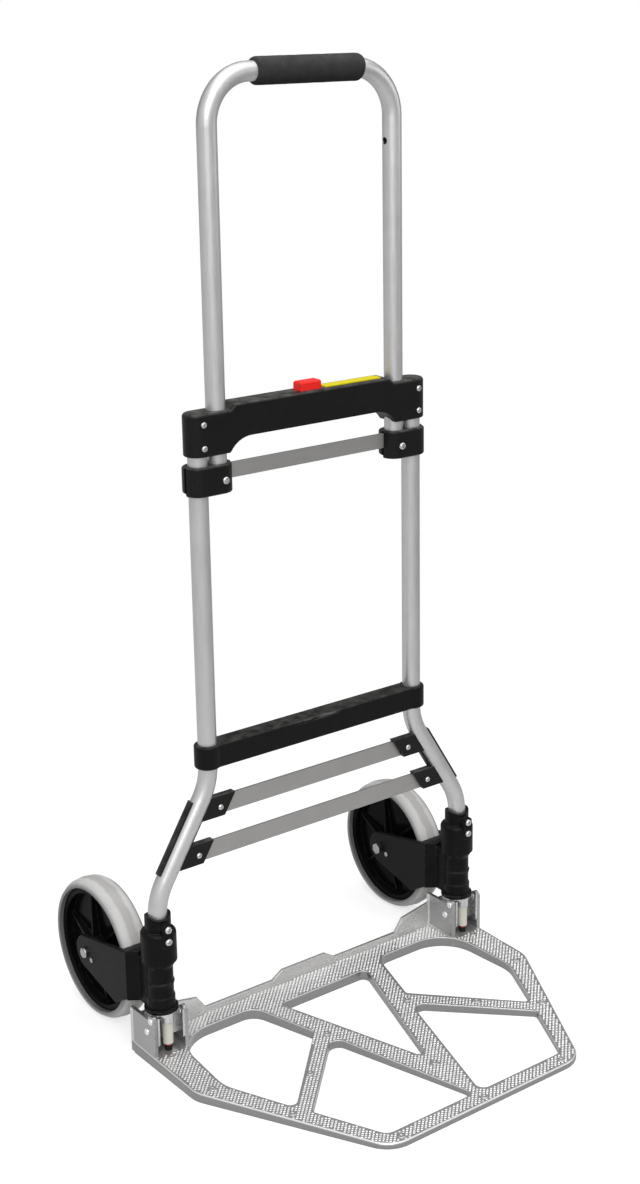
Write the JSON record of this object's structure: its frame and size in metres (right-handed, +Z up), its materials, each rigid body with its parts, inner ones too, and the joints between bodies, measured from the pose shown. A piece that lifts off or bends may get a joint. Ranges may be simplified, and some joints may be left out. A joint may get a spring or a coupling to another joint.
{
  "type": "folding hand truck",
  "caption": "Folding hand truck with a sliding U handle, a push-button latch, swing-in wheels and a hinged openwork toe plate.",
  "frame": {"origin": "on the floor, midway between the legs, in the plane of the frame tubes", "axes": "+Z up along the frame, -Y forwards over the toe plate, +X to the right of a person who looks along +Y"},
  "size_m": [0.51, 0.5309, 1.1238],
  "materials": {
    "tube_aluminium": "satin anodised",
    "bar_aluminium": "satin rolled strip",
    "cast_aluminium": "fine ribbed casting",
    "black_plastic": "fine moulded grain",
    "black_nylon": "semi-gloss moulded",
    "hub_plastic": "gloss moulded",
    "grip_foam": "soft closed-cell foam",
    "grey_tyre": "smooth grey rubber",
    "button_red": "smooth moulded",
    "strip_yellow": "plain film",
    "steel_fixings": "bright zinc plated",
    "yoke_zinc": "zinc plated",
    "spring_steel": "bright",
    "rod_cream": "smooth moulded",
    "tip_red": "soft rubber",
    "pad_black": "soft rubber",
    "bush_nylon": "smooth moulded"
  },
  "bodies": {
    "frame": {"left_leg": "tube_aluminium", "right_leg": "tube_aluminium", "latch_front_shell": "black_plastic", "latch_rear_shell": "black_plastic", "latch_screws": "steel_fixings", "top_strip": "strip_yellow", "button_spring": "spring_steel", "cross_bar": "black_plastic", "upper_slat": "bar_aluminium", "lower_slat": "bar_aluminium", "left_slat_bracket": "black_plastic", "right_slat_bracket": "black_plastic", "slat_screws": "steel_fixings", "left_collar": "black_nylon", "right_collar": "black_nylon", "collar_screws": "steel_fixings", "left_yoke": "yoke_zinc", "right_yoke": "yoke_zinc", "left_rod_spring": "spring_steel", "right_rod_spring": "spring_steel"},
    "handle": {"handle_tube": "tube_aluminium", "foam_grip": "grip_foam", "handle_bar": "bar_aluminium", "clamp_screws": "steel_fixings", "left_clamp_front": "black_plastic", "left_clamp_rear": "black_plastic", "right_clamp_front": "black_plastic", "right_clamp_rear": "black_plastic"},
    "button": {"release_button": "button_red"},
    "left_pin": {"left_latch_pin": "spring_steel"},
    "right_pin": {"right_latch_pin": "spring_steel"},
    "toe": {"toe_plate": "cast_aluminium", "hinge_rivets": "steel_fixings", "stop_rivets": "steel_fixings", "rod_pads": "pad_black"},
    "left_wheel_fork": {"left_fork": "black_nylon", "left_arm_pins": "steel_fixings", "left_axle_bolt": "steel_fixings", "left_axle_nut": "steel_fixings"},
    "right_wheel_fork": {"right_fork": "black_nylon", "right_arm_pins": "steel_fixings", "right_axle_bolt": "steel_fixings", "right_axle_nut": "steel_fixings"},
    "left_wheel": {"left_hub": "hub_plastic", "left_tyre": "grey_tyre", "left_bushes": "bush_nylon"},
    "right_wheel": {"right_hub": "hub_plastic", "right_tyre": "grey_tyre", "right_bushes": "bush_nylon"},
    "left_rod": {"left_push_rod": "rod_cream", "left_rod_tip": "tip_red"},
    "right_rod": {"right_push_rod": "rod_cream", "right_rod_tip": "tip_red"}
  },
  "joints": [
    {"name": "handle_slide", "type": "slide", "parent": "frame", "child": "handle", "axis": [0, 0, 1], "range_m": [-0.2906, 0]},
    {"name": "button_press", "type": "slide", "parent": "frame", "child": "button", "axis": [0, 0, -1], "range_m": [-0.003, 0.004], "stiffness_N_per_m": 600, "deforming": ["button_spring"]},
    {"name": "left_pin_slide", "type": "slide", "parent": "frame", "child": "left_pin", "axis": [-1, 0, 0], "range_m": [-0.004, 0.003]},
    {"name": "right_pin_slide", "type": "slide", "parent": "frame", "child": "right_pin", "axis": [1, 0, 0], "range_m": [-0.004, 0.003]},
    {"name": "toe_fold", "type": "hinge", "parent": "frame", "child": "toe", "pos_m": [0, -0.0135, 0.057], "axis": [-1, 0, 0], "range_deg": [0, 90]},
    {"name": "left_fork_turn", "type": "hinge", "parent": "frame", "child": "left_wheel_fork", "pos_m": [-0.2255, 0, 0.0617], "axis": [0, 0, -1], "range_deg": [0, 90]},
    {"name": "right_fork_turn", "type": "hinge", "parent": "frame", "child": "right_wheel_fork", "pos_m": [0.2255, 0, 0.0617], "axis": [0, 0, 1], "range_deg": [0, 90]},
    {"name": "left_wheel_spin", "type": "hinge", "parent": "left_wheel_fork", "child": "left_wheel", "pos_m": [-0.2255, 0.1275, 0.0864], "axis": [1, 0, 0], "continuous": true},
    {"name": "right_wheel_spin", "type": "hinge", "parent": "right_wheel_fork", "child": "right_wheel", "pos_m": [0.2255, 0.1275, 0.0864], "axis": [1, 0, 0], "continuous": true},
    {"name": "left_rod_slide", "type": "slide", "parent": "frame", "child": "left_rod", "axis": [0, 0, 1], "range_m": [0, 0.0051], "deforming": ["left_rod_spring"]},
    {"name": "right_rod_slide", "type": "slide", "parent": "frame", "child": "right_rod", "axis": [0, 0, 1], "range_m": [0, 0.0051], "deforming": ["right_rod_spring"]}
  ],
  "couplings": [
    {"joint": "left_pin_slide", "follows": "button_press", "ratio": -1},
    {"joint": "right_pin_slide", "follows": "button_press", "ratio": -1},
    {"joint": "left_fork_turn", "follows": "toe_fold", "ratio": 1},
    {"joint": "right_fork_turn", "follows": "toe_fold", "ratio": 1},
    {"joint": "left_rod_slide", "follows": "toe_fold", "m_per_rad": 0.0031831},
    {"joint": "right_rod_slide", "follows": "toe_fold", "m_per_rad": 0.0031831}
  ]
}
